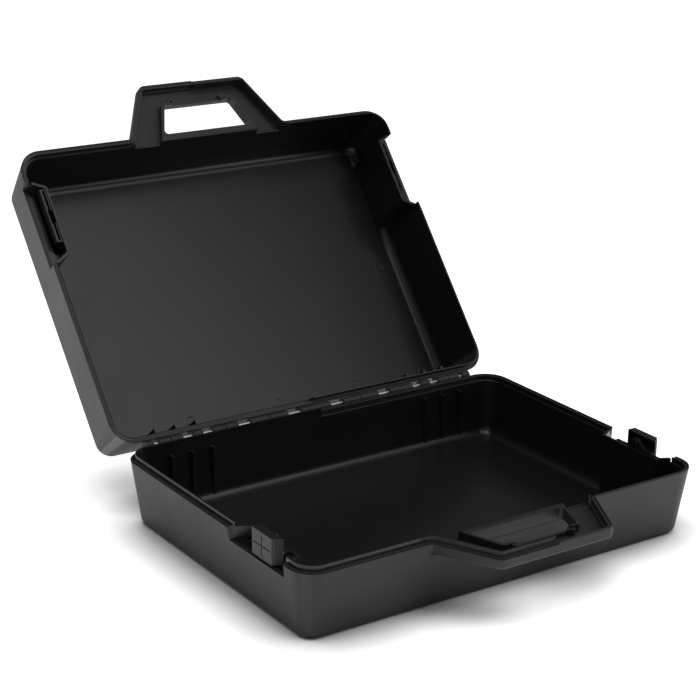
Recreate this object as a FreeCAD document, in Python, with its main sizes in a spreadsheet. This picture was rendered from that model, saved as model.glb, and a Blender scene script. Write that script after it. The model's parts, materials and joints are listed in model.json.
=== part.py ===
import FreeCAD, Part
import math
import os
import Sketcher

# Hard tool case with a hinged lid, a split carrying handle and a sliding latch on each side.
# Both shells are one and the same moulding: the lid is the base turned over about the depth axis.
# Frame: millimetres, +Z up, +X to the right, the handle towards -Y, origin at the centre of the
# base's underside. The lid is drawn as it stands open.

DOCUMENT_NAME = "ToolCase"
SHEET_NAME = "Sizes"

# Driving sizes in millimetres and degrees, one cell each.
SIZES = {
    # Shell.
    "case_width": 400.0,
    "case_depth": 285.4,
    "shell_height": 60.0,
    "corner_radius": 22.0,
    "wall_draft": 8.6,
    "foot_radius": 7.0,
    "rim_width": 5.8,
    "base_floor": 3.8,
    "lid_floor": 2.2,
    "cavity_draft": 5.4,
    "floor_radius": 9.0,
    "parting_gap": 0.3,
    "overrun": 2.0,
    # Rim joint: a tongue on one half of the rim, a socket on the other.
    "ledge_width": 4.2,
    "tongue_width": 1.6,
    "tongue_height": 4.0,
    "joint_clearance": 0.3,
    "lip_setback": 0.2,
    "lip_width": 1.2,
    "lip_height": 0.8,
    # Handle half.
    "handle_reach": 53.0,
    "handle_root_width": 166.0,
    "handle_front_width": 112.0,
    "handle_corner_radius": 8.0,
    "handle_root_radius": 5.0,
    "handle_height": 9.5,
    "handle_edge_radius": 2.5,
    "handle_floor": 2.5,
    "hand_hole_back_gap": 0.8,
    "hand_hole_reach": 30.0,
    "hand_hole_back_width": 95.0,
    "hand_hole_front_width": 73.0,
    "hand_hole_radius": 3.5,
    "collar_wall": 2.6,
    "bar_notch_width": 56.0,
    "bar_notch_drop": 3.6,
    "bar_boss_radius": 3.4,
    "bar_boss_drop": 1.2,
    "bar_pin_radius": 1.3,
    # Hinge.
    "hinge_offset": 4.5,
    "open_angle": 130.0,
    "knuckle_radius": 4.1,
    "knuckle_arm_drop": 3.5,
    "knuckle_gap": 0.4,
    "stop_gap": 0.3,
    "stop_angle": 38.0,
    "pin_radius": 1.5,
    "pin_inner_end": 1.5,
    "pin_outer_end": 174.0,
    "pin_hold_clearance": 0.02,
    "pin_run_clearance": 0.08,
    # Latch recess in each side wall.
    "recess_inset": 17.2,
    "recess_wall": 2.2,
    "recess_drop": 12.0,
    "recess_front_outer": 114.0,
    "recess_front_inner": 105.5,
    "recess_back_inner": 42.5,
    "recess_back_outer": 32.0,
    "recess_corner_radius": 2.0,
    "hollow_width": 6.6,
    "hollow_depth": 46.0,
    "hollow_margin": 3.0,
    # Keyhole track of the latch.
    "track_width": 5.6,
    "track_top_drop": 1.0,
    "track_lip": 2.4,
    "track_depth": 9.2,
    "track_wall": 1.2,
    "track_slot_width": 2.0,
    "track_slot_inset": 1.4,
    "track_front": 104.0,
    "track_back": 54.5,
    "track_end_wall": 1.5,
    "key_front": 84.5,
    "key_back": 72.0,
    "core_hole_radius": 1.3,
    "core_hole_drop": 6.5,
    # Latch slider.
    "latch_travel": 12.0,
    "latch_height": 22.4,
    "latch_face_inset": 3.4,
    "latch_front_outer": 92.5,
    "latch_front_inner": 98.0,
    "latch_back": 64.0,
    "latch_wall": 1.8,
    "latch_plate": 1.4,
    "latch_edge_radius": 0.7,
    "latch_clearance": 0.4,
    "web_thickness": 1.5,
    "fin_thickness": 1.5,
    "fin_foot_front": 92.0,
    "fin_foot_back": 68.0,
    "fin_tip_front": 81.5,
    "fin_tip_back": 75.5,
    "fin_height": 8.4,
    "head_front": 82.0,
    "head_back": 74.0,
    "head_thickness": 3.4,
    "foot_front": 99.0,
    "foot_back": 69.0,
    "head_gap": 0.35,
    "grip_rib_width": 0.8,
    "grip_rib_height": 0.6,
    "grip_rib_pitch": 1.7,
    "panel_groove_width": 1.0,
    "panel_groove_depth": 0.5,
    "panel_margin": 2.4,
    # Inside of the back wall.
    "rib_pitch": 20.5,
    "rib_group_centre": 135.0,
    "rib_width": 2.4,
    "rib_reach": 7.0,
    "rib_top_drop": 8.0,
    "pad_centre": 9.5,
    "pad_width": 20.0,
    "pad_reach": 6.0,
    "pad_top_drop": 9.0,
}

# Hinge knuckles along the back rim, as shares of half the width: start and end of each.
KNUCKLE_SHARES = (
    (-0.875, -0.835),
    (-0.749, -0.691),
    (-0.540, -0.476),
    (-0.345, -0.2485),
    (0.000, 0.080),
    (0.150, 0.2465),
    (0.410, 0.474),
    (0.590, 0.640),
    (0.751, 0.810),
)

GRIP_RIB_COUNT = 4
RIBS_PER_GROUP = 3


class Length:
    """A size that keeps its number and the sheet expression it comes from."""

    def __init__(self, value, text):
        self.value = float(value)
        self.text = text

    @staticmethod
    def of(other):
        """Returns a plain number as a Length."""
        if isinstance(other, Length):
            return other
        return Length(other, repr(float(other)))

    def __add__(self, other):
        other = Length.of(other)
        return Length(self.value + other.value, "(%s + %s)" % (self.text, other.text))

    def __sub__(self, other):
        other = Length.of(other)
        return Length(self.value - other.value, "(%s - %s)" % (self.text, other.text))

    def __mul__(self, factor):
        factor = Length.of(factor)
        return Length(self.value * factor.value, "(%s * %s)" % (self.text, factor.text))

    def __truediv__(self, factor):
        factor = Length.of(factor)
        return Length(self.value / factor.value, "(%s / %s)" % (self.text, factor.text))

    def __neg__(self):
        return Length(-self.value, "(-1 * %s)" % self.text)


ZERO = Length(0, "0")


def size(alias):
    """Returns a cell of the sheet as a Length."""
    return Length(SIZES[alias], "%s.%s" % (SHEET_NAME, alias))


def tangent(angle):
    """Returns the tangent of a Length that holds degrees."""
    return Length(math.tan(math.radians(angle.value)), "tan(%s * 1deg)" % angle.text)


def sine(angle):
    """Returns the sine of a Length that holds degrees."""
    return Length(math.sin(math.radians(angle.value)), "sin(%s * 1deg)" % angle.text)


def cosine(angle):
    """Returns the cosine of a Length that holds degrees."""
    return Length(math.cos(math.radians(angle.value)), "cos(%s * 1deg)" % angle.text)


# Derived sizes that several pieces share.
half_width = size("case_width") / 2
half_depth = size("case_depth") / 2
half_gap = size("parting_gap") / 2
rim_width = size("rim_width")
hinge_y = half_depth + size("hinge_offset")
hinge_z = size("shell_height") + half_gap
handle_front = half_depth + size("handle_reach")
hole_back = half_depth + size("hand_hole_back_gap")
hole_front = hole_back + size("hand_hole_reach")
recess_x = half_width - size("recess_inset")
track_x = recess_x + size("track_width")
slot_inner_x = recess_x + size("track_slot_inset")
slot_outer_x = slot_inner_x + size("track_slot_width")
slot_middle_x = (slot_inner_x + slot_outer_x) / 2
overrun = size("overrun")

doc = FreeCAD.newDocument(DOCUMENT_NAME)
sheet = doc.addObject("Spreadsheet::Sheet", SHEET_NAME)


def fill_sheet():
    """Writes each driving size in a cell of its own with its name as the alias."""
    for row, (alias, value) in enumerate(SIZES.items(), start=1):
        sheet.set("A%d" % row, alias)
        sheet.set("B%d" % row, str(value))
        sheet.setAlias("B%d" % row, alias)
    doc.recompute()


def bind(thing, prop, length):
    """Ties a property to the sheet."""
    thing.setExpression(prop, Length.of(length).text)


def origin_plane(body, role):
    """Finds one of a body's own origin planes."""
    return next(f for f in body.Origin.OriginFeatures if f.Role == role)


def new_sketch(owner, name, role="XY_Plane", offset=None):
    """Makes an empty sketch on an origin plane of a body."""
    sketch = owner.newObject("Sketcher::SketchObject", name)
    sketch.AttachmentSupport = [(origin_plane(owner, role), "")]
    sketch.MapMode = "FlatFace"
    if offset is not None:
        bind(sketch, "AttachmentOffset.Base.z", offset)
    return sketch


def pin_point(sketch, point, x, y):
    """Fixes a sketch point at named distances from the sketch's origin."""
    for kind, axis, length in (("DistanceX", -2, x), ("DistanceY", -1, y)):
        if length.value == 0:
            sketch.addConstraint(Sketcher.Constraint("PointOnObject", point, 1, axis))
        elif length.value > 0:
            index = sketch.addConstraint(Sketcher.Constraint(kind, -1, 1, point, 1, length.value))
            sketch.setExpression("Constraints[%d]" % index, length.text)
        else:
            index = sketch.addConstraint(Sketcher.Constraint(kind, point, 1, -1, 1, -length.value))
            sketch.setExpression("Constraints[%d]" % index, (-length).text)


def corner_points(corners, i):
    """Returns where the rounding of one corner starts and ends, and its centre."""
    here = FreeCAD.Vector(corners[i][0].value, corners[i][1].value, 0)
    before = FreeCAD.Vector(corners[i - 1][0].value, corners[i - 1][1].value, 0)
    after_corner = corners[(i + 1) % len(corners)]
    after = FreeCAD.Vector(after_corner[0].value, after_corner[1].value, 0)
    radius = corners[i][2].value
    if radius == 0:
        return here, here, None
    back = (before - here).normalize()
    ahead = (after - here).normalize()
    half_angle = back.getAngle(ahead) / 2
    reach = radius / math.tan(half_angle)
    middle = (back + ahead).normalize() * (radius / math.sin(half_angle))
    return here + back * reach, here + ahead * reach, here + middle


def draw_outline(sketch, corners):
    """Draws a closed outline of lines with rounded corners, each corner (x, y, radius)."""
    rounded = [corner_points(corners, i) for i in range(len(corners))]
    lines = []
    for i in range(len(corners)):
        start = rounded[i][1]
        end = rounded[(i + 1) % len(corners)][0]
        lines.append(sketch.addGeometry(Part.LineSegment(start, end), False))
    for i, (x, y, radius) in enumerate(corners):
        place = FreeCAD.Vector(x.value, y.value, 0)
        point = sketch.addGeometry(Part.Point(place), True)
        pin_point(sketch, point, x, y)
        if radius.value == 0:
            sketch.addConstraint(Sketcher.Constraint("Coincident", lines[i - 1], 2, point, 1))
            sketch.addConstraint(Sketcher.Constraint("Coincident", lines[i], 1, point, 1))
            continue
        enter, leave, centre = rounded[i]
        a = math.atan2(enter.y - centre.y, enter.x - centre.x)
        b = math.atan2(leave.y - centre.y, leave.x - centre.x)
        turns_left = (enter - centre).cross(leave - centre).z > 0
        first, last = (a, b) if turns_left else (b, a)
        circle = Part.Circle(centre, FreeCAD.Vector(0, 0, 1), radius.value)
        arc = sketch.addGeometry(Part.ArcOfCircle(circle, first, last), False)
        sketch.addConstraint(Sketcher.Constraint("PointOnObject", point, 1, lines[i - 1]))
        sketch.addConstraint(Sketcher.Constraint("PointOnObject", point, 1, lines[i]))
        arc_enter = 1 if turns_left else 2
        sketch.addConstraint(Sketcher.Constraint("Tangent", lines[i - 1], 2, arc, arc_enter))
        sketch.addConstraint(Sketcher.Constraint("Tangent", arc, 3 - arc_enter, lines[i], 1))
        index = sketch.addConstraint(Sketcher.Constraint("Radius", arc, radius.value))
        sketch.setExpression("Constraints[%d]" % index, radius.text)


def outline_sketch(owner, name, corners, role="XY_Plane", offset=None):
    """Makes a sketch that holds one closed outline."""
    sketch = new_sketch(owner, name, role, offset)
    draw_outline(sketch, corners)
    return sketch


def circle_sketch(owner, name, x, y, radius, role="XY_Plane", offset=None):
    """Makes a sketch that holds one circle."""
    sketch = new_sketch(owner, name, role, offset)
    centre = FreeCAD.Vector(x.value, y.value, 0)
    up = FreeCAD.Vector(0, 0, 1)
    circle = sketch.addGeometry(Part.Circle(centre, up, radius.value), False)
    point = sketch.addGeometry(Part.Point(centre), True)
    pin_point(sketch, point, x, y)
    sketch.addConstraint(Sketcher.Constraint("Coincident", circle, 3, point, 1))
    index = sketch.addConstraint(Sketcher.Constraint("Radius", circle, radius.value))
    sketch.setExpression("Constraints[%d]" % index, radius.text)
    return sketch


def rectangle(x0, x1, y0, y1, radius=ZERO):
    """Returns the corners of an upright rectangle."""
    return [(x0, y0, radius), (x1, y0, radius), (x1, y1, radius), (x0, y1, radius)]


def add_pad(body, sketch, name, length, reverse=False, taper=None, midplane=False):
    """Pads a sketch and returns the feature."""
    pad = body.newObject("PartDesign::Pad", name)
    pad.Profile = sketch
    pad.Reversed = reverse
    pad.Midplane = midplane
    bind(pad, "Length", length)
    if taper is not None:
        bind(pad, "TaperAngle", taper)
    sketch.Visibility = False
    return pad


def add_pocket(body, sketch, name, length, reverse=False, midplane=False):
    """Pockets a sketch into a body and returns the feature."""
    pocket = body.newObject("PartDesign::Pocket", name)
    pocket.Profile = sketch
    pocket.Reversed = reverse
    pocket.Midplane = midplane
    bind(pocket, "Length", length)
    sketch.Visibility = False
    return pocket


def edges_where(feature, test):
    """Names the edges of a feature whose middle and two ends pass a test."""
    names = []
    for number, edge in enumerate(feature.Shape.Edges, start=1):
        middle = edge.valueAt((edge.FirstParameter + edge.LastParameter) / 2)
        ends = (edge.valueAt(edge.FirstParameter), edge.valueAt(edge.LastParameter))
        if test(middle, ends):
            names.append("Edge%d" % number)
    return names


def add_fillet(body, feature, name, radius, test):
    """Rounds the edges of a feature that pass a test."""
    doc.recompute()
    fillet = body.newObject("PartDesign::Fillet", name)
    fillet.Base = (feature, edges_where(feature, test))
    bind(fillet, "Radius", radius)
    return fillet


def is_near(value, target, share=0.01):
    """Tells whether a place lies at a named one, within a share of the rim's width."""
    return abs(value - target) < rim_width.value * share


def cut(name, base, tools):
    """Cuts several solids out of one."""
    if len(tools) > 1:
        joined = fuse(name + "_tools", tools)
    else:
        joined = tools[0]
    result = doc.addObject("Part::Cut", name)
    result.Base = base
    result.Tool = joined
    result.Refine = False
    return result


def fuse(name, shapes):
    """Joins several solids."""
    result = doc.addObject("Part::MultiFuse", name)
    result.Shapes = shapes
    result.Refine = False
    return result


def rim_corners(inset):
    """Returns the outline of the whole rim with the handle, moved inwards by an inset."""
    corner = size("corner_radius") - inset
    x = half_width - inset
    y = half_depth - inset
    shift = inset * leg_run() - leg_shift(inset)
    root = size("handle_root_width") / 2 + shift
    front = size("handle_front_width") / 2 + shift
    front_y = handle_front - inset
    root_radius = size("handle_root_radius") + inset
    front_radius = size("handle_corner_radius") - inset
    return [
        (-x, -y, corner),
        (-root, -y, root_radius),
        (-front, -front_y, front_radius),
        (front, -front_y, front_radius),
        (root, -y, root_radius),
        (x, -y, corner),
        (x, y, corner),
        (-x, y, corner),
    ]


def leg_run():
    """Returns how far a leg's slanted side moves along X for each unit of depth."""
    return (size("handle_root_width") - size("handle_front_width")) / 2 / size("handle_reach")


def leg_shift(inset):
    """Returns how far a leg's slanted side moves along X when it is moved inwards."""
    run = leg_run()
    slope = Length(math.hypot(1, run.value), "sqrt(1 + %s ^ 2)" % run.text)
    return inset * slope


def leg_half_width(depth):
    """Returns half the handle's width at a distance in front of the front wall."""
    run = (size("handle_root_width") - size("handle_front_width")) / 2
    return size("handle_root_width") / 2 - run * (depth / size("handle_reach"))


def hole_half_width(depth):
    """Returns half the hand hole's width at a distance in front of its back edge."""
    run = (size("hand_hole_back_width") - size("hand_hole_front_width")) / 2
    return size("hand_hole_back_width") / 2 - run * (depth / size("hand_hole_reach"))


def make_outer(prefix):
    """The shell's outer form: a drafted tub and the handle half on its front."""
    body = doc.addObject("PartDesign::Body", prefix + "_outer")
    draft = -size("wall_draft")
    front = size("handle_front_width") / 2
    inside_reach = ZERO - rim_width / 2
    inside = half_depth + inside_reach
    root = leg_half_width(inside_reach)
    handle = [
        (-root, -inside, ZERO),
        (-front, -handle_front, size("handle_corner_radius")),
        (front, -handle_front, size("handle_corner_radius")),
        (root, -inside, ZERO),
    ]
    handle_sketch = outline_sketch(body, prefix + "_handle_outline", handle)
    handle_pad = add_pad(body, handle_sketch, prefix + "_handle", size("handle_height"), True)
    underside = -size("handle_height").value
    add_fillet(
        body, handle_pad, prefix + "_handle_round", size("handle_edge_radius"),
        lambda middle, ends: is_near(middle.z, underside)
        and not all(is_near(end.y, -inside.value) for end in ends),
    )
    corner = size("corner_radius")
    tub = rectangle(-half_width, half_width, -half_depth, half_depth, corner)
    tub_sketch = outline_sketch(body, prefix + "_tub_outline", tub)
    tub_pad = add_pad(body, tub_sketch, prefix + "_tub", size("shell_height"), True, draft)
    bottom = -size("shell_height").value
    foot = add_fillet(
        body, tub_pad, prefix + "_foot_round", size("foot_radius"),
        lambda middle, ends: is_near(middle.z, bottom),
    )
    wall_slope = tangent(size("wall_draft")).value
    add_fillet(
        body, foot, prefix + "_handle_root_round", size("handle_root_radius"),
        lambda middle, ends: all(
            is_near(p.y, -half_depth.value - p.z * wall_slope)
            and p.z > underside - wall_slope and abs(p.x) < half_width.value / 2
            for p in ends + (middle,)
        )
        and not all(is_near(p.z, 0) for p in ends)
        and not all(is_near(p.z, underside) for p in ends),
    )
    channel_depth = size("handle_height") - size("handle_floor")
    inner_front = size("handle_reach") - rim_width
    bar_inner = size("hand_hole_back_gap") + size("hand_hole_reach") + size("collar_wall")
    wall_line = half_depth - rim_width - overrun
    outer_root = leg_half_width(ZERO - rim_width - overrun) - leg_shift(rim_width)
    outer_front = leg_half_width(inner_front) - leg_shift(rim_width)
    collar_root = hole_half_width(ZERO - rim_width - overrun) + size("collar_wall")
    collar_front = size("hand_hole_front_width") / 2 + size("collar_wall")
    ball = size("hand_hole_radius")
    channel = [
        (-outer_root, -wall_line, ZERO),
        (-outer_front, -(half_depth + inner_front), size("handle_edge_radius")),
        (outer_front, -(half_depth + inner_front), size("handle_edge_radius")),
        (outer_root, -wall_line, ZERO),
        (collar_root, -wall_line, ZERO),
        (collar_front, -(half_depth + bar_inner), ball + size("collar_wall")),
        (-collar_front, -(half_depth + bar_inner), ball + size("collar_wall")),
        (-collar_root, -wall_line, ZERO),
    ]
    channel_sketch = outline_sketch(body, prefix + "_channel_outline", channel)
    add_pocket(body, channel_sketch, prefix + "_channel", channel_depth)
    hole = [
        (-size("hand_hole_back_width") / 2, -hole_back, ball),
        (-size("hand_hole_front_width") / 2, -hole_front, ball),
        (size("hand_hole_front_width") / 2, -hole_front, ball),
        (size("hand_hole_back_width") / 2, -hole_back, ball),
    ]
    hole_sketch = outline_sketch(body, prefix + "_hand_hole_outline", hole)
    add_pocket(body, hole_sketch, prefix + "_hand_hole", size("handle_height") + overrun)
    notch_half = size("bar_notch_width") / 2
    notch_back = hole_front - overrun
    notch_front = hole_front + size("collar_wall") + overrun / 2
    notch = rectangle(-notch_half, notch_half, -notch_front, -notch_back)
    notch_sketch = outline_sketch(body, prefix + "_bar_notch_outline", notch)
    add_pocket(body, notch_sketch, prefix + "_bar_notch", size("bar_notch_drop"))
    boss_y = hole_front + size("bar_boss_radius")
    boss_height = size("handle_height") - size("handle_floor") / 2 - size("bar_boss_drop")
    for side, name in ((-1, "_bar_socket_post"), (1, "_bar_pin_post")):
        post = circle_sketch(
            body, prefix + name + "_outline", notch_half * side, -boss_y,
            size("bar_boss_radius"), offset=-size("bar_boss_drop"),
        )
        add_pad(body, post, prefix + name, boss_height, True)
    pin_hole = circle_sketch(
        body, prefix + "_bar_pin_hole_outline", notch_half, -boss_y, size("bar_pin_radius"),
    )
    add_pocket(body, pin_hole, prefix + "_bar_pin_hole", channel_depth)
    return body


def recess_corners(side, grow, reach):
    """Returns a latch recess in plan, grown by a wall and reaching out to a given place."""
    slant_front = size("recess_front_outer") - size("recess_front_inner")
    slant_back = size("recess_back_inner") - size("recess_back_outer")
    share = (reach - recess_x) / size("recess_inset")
    radius = size("recess_corner_radius")
    inner = recess_x - grow
    corners = [
        (inner, -(size("recess_front_inner") + grow), radius),
        (reach, -(size("recess_front_inner") + slant_front * share + grow), ZERO),
        (reach, -(size("recess_back_inner") - slant_back * share - grow), ZERO),
        (inner, -(size("recess_back_inner") - grow), radius),
    ]
    return [(x * side, y, r) for x, y, r in corners]


def make_core(prefix, floor):
    """The inside of the shell as a solid: a drafted block less the walls that stand in it."""
    cavity_depth = size("shell_height") - floor
    body = doc.addObject("PartDesign::Body", prefix + "_core")
    x = half_width - rim_width
    y = half_depth - rim_width
    corner = size("corner_radius") - rim_width
    block_sketch = outline_sketch(body, prefix + "_core_outline", rectangle(-x, x, -y, y, corner))
    block = add_pad(
        body, block_sketch, prefix + "_core_block", cavity_depth, True, -size("cavity_draft"),
    )
    depth = cavity_depth.value
    add_fillet(
        body, block, prefix + "_core_round", size("floor_radius"),
        lambda middle, ends: is_near(middle.z, -depth),
    )
    for side, name in ((-1, "_left_recess_wall"), (1, "_right_recess_wall")):
        wall = recess_corners(side, size("recess_wall"), half_width)
        wall_sketch = outline_sketch(body, prefix + name + "_outline", wall)
        add_pocket(body, wall_sketch, prefix + name, cavity_depth + overrun)
    inner_back = y - cavity_depth * tangent(size("cavity_draft")) / 4
    rib_front = inner_back - size("rib_reach") + size("rib_width")
    half_rib = size("rib_width") / 2
    for side, group in ((-1, "_left_rib"), (1, "_right_rib")):
        for number in range(RIBS_PER_GROUP):
            step = number - (RIBS_PER_GROUP - 1) / 2
            centre = (size("rib_group_centre") + size("rib_pitch") * step) * side
            rib = rectangle(centre - half_rib, centre + half_rib, rib_front, half_depth)
            name = "%s%s_%d" % (prefix, group, number + 1)
            rib_sketch = outline_sketch(
                body, name + "_outline", rib, offset=-size("rib_top_drop"),
            )
            add_pocket(body, rib_sketch, name, cavity_depth)
    pad_half = size("pad_width") / 2
    pad_front = inner_back - size("pad_reach") + size("rib_width")
    top = -size("pad_top_drop")
    arch = [
        (size("pad_centre") - pad_half, -(cavity_depth + overrun), ZERO),
        (size("pad_centre") + pad_half, -(cavity_depth + overrun), ZERO),
        (size("pad_centre") + pad_half, top, pad_half * 0.98),
        (size("pad_centre") - pad_half, top, pad_half * 0.98),
    ]
    arch = [(-px, pz, r) for px, pz, r in arch]
    arch_sketch = outline_sketch(body, prefix + "_arch_outline", arch, "XZ_Plane", -half_depth)
    add_pocket(body, arch_sketch, prefix + "_arch", half_depth - pad_front)
    return body


def make_ring(prefix, name, outer_inset, inner_inset, bottom, height, side):
    """A band that follows the rim between two insets, on one half of the case."""
    body = doc.addObject("PartDesign::Body", "%s_%s" % (prefix, name))
    name = "%s_%s" % (prefix, name)
    outer_sketch = outline_sketch(
        body, name + "_outer_line", rim_corners(outer_inset), offset=bottom,
    )
    add_pad(body, outer_sketch, name + "_plate", height)
    top = bottom + height
    inner_sketch = outline_sketch(
        body, name + "_inner_line", rim_corners(inner_inset), offset=top,
    )
    add_pocket(body, inner_sketch, name + "_inside", height)
    far = half_width + overrun * 2
    other = rectangle(
        -far if side > 0 else ZERO, ZERO if side > 0 else far,
        -(handle_front + overrun * 2), half_depth + overrun * 2,
    )
    other_sketch = outline_sketch(body, name + "_other_half", other, offset=top)
    add_pocket(body, other_sketch, name + "_trim", height)
    return body


def make_recess(prefix, side, word):
    """The space of one latch recess, with the deep hollow behind its wall."""
    body = doc.addObject("PartDesign::Body", "%s_%s_recess" % (prefix, word))
    reach = half_width + overrun
    plan = recess_corners(side, ZERO, reach)
    above = size("tongue_height") + overrun
    opening_sketch = outline_sketch(
        body, "%s_%s_recess_outline" % (prefix, word), plan, offset=-size("recess_drop"),
    )
    add_pad(body, opening_sketch, "%s_%s_recess_space" % (prefix, word), size("recess_drop") + above)
    margin = size("hollow_margin")
    near = recess_x * side
    far = (recess_x + size("hollow_width")) * side
    front = -(size("recess_front_inner") - margin)
    back = -(size("recess_back_inner") + margin)
    hollow = rectangle(near, far, front, back, size("recess_corner_radius"))
    hollow_sketch = outline_sketch(body, "%s_%s_hollow_outline" % (prefix, word), hollow)
    add_pad(
        body, hollow_sketch, "%s_%s_hollow" % (prefix, word), size("hollow_depth"), True,
    )
    return body


def make_track(prefix, side, word):
    """The keyhole track that the latch's head and foot slide in."""
    body = doc.addObject("PartDesign::Body", "%s_%s_track" % (prefix, word))
    name = "%s_%s_track" % (prefix, word)
    inner = (recess_x - size("recess_wall") / 2) * side
    outer = track_x * side
    front = -(size("track_front") + size("track_end_wall"))
    back = -(size("track_back") - size("track_end_wall"))
    top = -size("track_top_drop")
    block_sketch = outline_sketch(
        body, name + "_outline", rectangle(inner, outer, front, back), offset=top,
    )
    depth = size("track_depth") - size("track_top_drop")
    add_pad(body, block_sketch, name + "_block", depth, True)
    room_outer = (track_x - size("track_wall")) * side
    room = rectangle(recess_x * side, room_outer, -size("track_front"), -size("track_back"))
    room_sketch = outline_sketch(body, name + "_room_outline", room, offset=top - size("track_lip"))
    add_pocket(body, room_sketch, name + "_room", depth)
    slot = rectangle(
        slot_inner_x * side, slot_outer_x * side, -size("track_front"), -size("track_back"),
    )
    slot_sketch = outline_sketch(body, name + "_slot_outline", slot)
    add_pocket(body, slot_sketch, name + "_slot", depth)
    key = rectangle(recess_x * side, room_outer, -size("key_front"), -size("key_back"))
    key_sketch = outline_sketch(body, name + "_key_outline", key)
    add_pocket(body, key_sketch, name + "_key", depth)
    return body


def x_cylinder(name, start, length, radius, y, z):
    """A cylinder along X."""
    cylinder = doc.addObject("Part::Cylinder", name)
    bind(cylinder, "Radius", radius)
    bind(cylinder, "Height", length)
    cylinder.Placement = FreeCAD.Placement(
        FreeCAD.Vector(start.value, y.value, z.value),
        FreeCAD.Rotation(FreeCAD.Vector(0, 1, 0), 90),
    )
    bind(cylinder, "Placement.Base.x", start)
    bind(cylinder, "Placement.Base.y", y)
    bind(cylinder, "Placement.Base.z", z)
    return cylinder


def make_knuckles(prefix):
    """The knuckles of one shell: barrels, the arms that carry them and their stop noses."""
    radius = size("knuckle_radius")
    draft = size("wall_draft")
    wall_distance = size("hinge_offset") * cosine(draft)
    stop_reach = (wall_distance - size("stop_gap")) / cosine(size("stop_angle"))
    wall_direction = Length(180, "180") - size("open_angle") + draft
    nose_direction = wall_direction - size("stop_angle")
    nose_y = stop_reach * cosine(nose_direction)
    nose_z = stop_reach * sine(nose_direction)
    root_y = half_depth - rim_width / 2
    low = -(radius + size("knuckle_arm_drop"))
    top = -(size("lip_height") + size("joint_clearance"))
    arm = [
        (root_y, low, ZERO),
        (hinge_y, half_gap - radius, ZERO),
        (hinge_y + nose_y, half_gap - radius / 3, ZERO),
        (hinge_y + nose_y, half_gap + nose_z, ZERO),
        (hinge_y, half_gap + radius * 0.9, ZERO),
        (hinge_y, top, ZERO),
        (root_y, top, ZERO),
    ]
    bodies = []
    for number, (start_share, end_share) in enumerate(KNUCKLE_SHARES, start=1):
        start = half_width * start_share + size("knuckle_gap") / 2
        length = half_width * (end_share - start_share) - size("knuckle_gap")
        name = "%s_knuckle_%d" % (prefix, number)
        body = doc.addObject("PartDesign::Body", name)
        arm_sketch = outline_sketch(body, name + "_arm_outline", arm, "YZ_Plane", start)
        add_pad(body, arm_sketch, name + "_arm", length)
        ring_sketch = circle_sketch(
            body, name + "_barrel_outline", hinge_y, half_gap, radius, "YZ_Plane", start,
        )
        add_pad(body, ring_sketch, name + "_barrel", length)
        bodies.append(body)
    return bodies


def make_shell(prefix, label, floor, pin_clearance):
    """One shell in its own frame: rim plane at z = 0, floor below, handle towards -Y."""
    outer = make_outer(prefix)
    core = make_core(prefix, floor)
    tub = cut(prefix + "_tub_shell", outer, [core])
    tongue = make_ring(
        prefix, "tongue", size("ledge_width"), rim_width, ZERO, size("tongue_height"), -1,
    )
    lip = make_ring(
        prefix, "lip", size("lip_setback"), size("lip_width"), ZERO, size("lip_height"), 1,
    )
    clearance = size("joint_clearance")
    socket = make_ring(
        prefix, "socket", size("ledge_width") - clearance, rim_width + clearance,
        -(size("tongue_height") + clearance),
        size("tongue_height") + clearance + overrun, 1,
    )
    rebate = make_ring(
        prefix, "rebate", -overrun, size("lip_width") + clearance,
        -(size("lip_height") + clearance), size("lip_height") + clearance + overrun, -1,
    )
    rimmed = fuse(prefix + "_rimmed", [tub, lip])
    grooved = cut(prefix + "_grooved", rimmed, [socket, rebate])
    tongued = fuse(prefix + "_tongued", [grooved, tongue])
    recesses = [make_recess(prefix, -1, "left"), make_recess(prefix, 1, "right")]
    opened = cut(prefix + "_opened", tongued, recesses)
    tracks = [make_track(prefix, -1, "left"), make_track(prefix, 1, "right")]
    tracked = fuse(prefix + "_tracked", [opened] + tracks)
    furnished = fuse(prefix + "_furnished", [tracked] + make_knuckles(prefix))
    bore_radius = size("pin_radius") + pin_clearance
    bore = x_cylinder(
        prefix + "_hinge_bore", -half_width, size("case_width"), bore_radius, hinge_y, half_gap,
    )
    holes = [bore]
    hole_depth = size("recess_wall") + overrun
    for side, word in ((-1, "left"), (1, "right")):
        start = (recess_x - hole_depth / 2) - hole_depth / 2 if side > 0 else -recess_x
        for number, place in enumerate((size("track_front"), size("track_back")), start=1):
            inner = size("core_hole_radius") * (2 if number == 2 else -2)
            holes.append(
                x_cylinder(
                    "%s_%s_core_hole_%d" % (prefix, word, number), start, hole_depth,
                    size("core_hole_radius"), -(place + inner), -size("core_hole_drop"),
                )
            )
    shell = cut(label, furnished, holes)
    shell.Label = label
    return shell


def make_pin(label, side):
    """A straight steel rod through the knuckles of one half of the hinge."""
    length = size("pin_outer_end") - size("pin_inner_end")
    start = size("pin_inner_end") if side > 0 else -size("pin_outer_end")
    pin = doc.addObject("Part::Cylinder", label)
    bind(pin, "Radius", size("pin_radius"))
    bind(pin, "Height", length)
    pin.Placement = FreeCAD.Placement(
        FreeCAD.Vector(start.value, hinge_y.value, hinge_z.value),
        FreeCAD.Rotation(FreeCAD.Vector(0, 1, 0), 90),
    )
    bind(pin, "Placement.Base.x", start)
    bind(pin, "Placement.Base.y", hinge_y)
    bind(pin, "Placement.Base.z", hinge_z)
    pin.Label = label
    return pin


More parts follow.
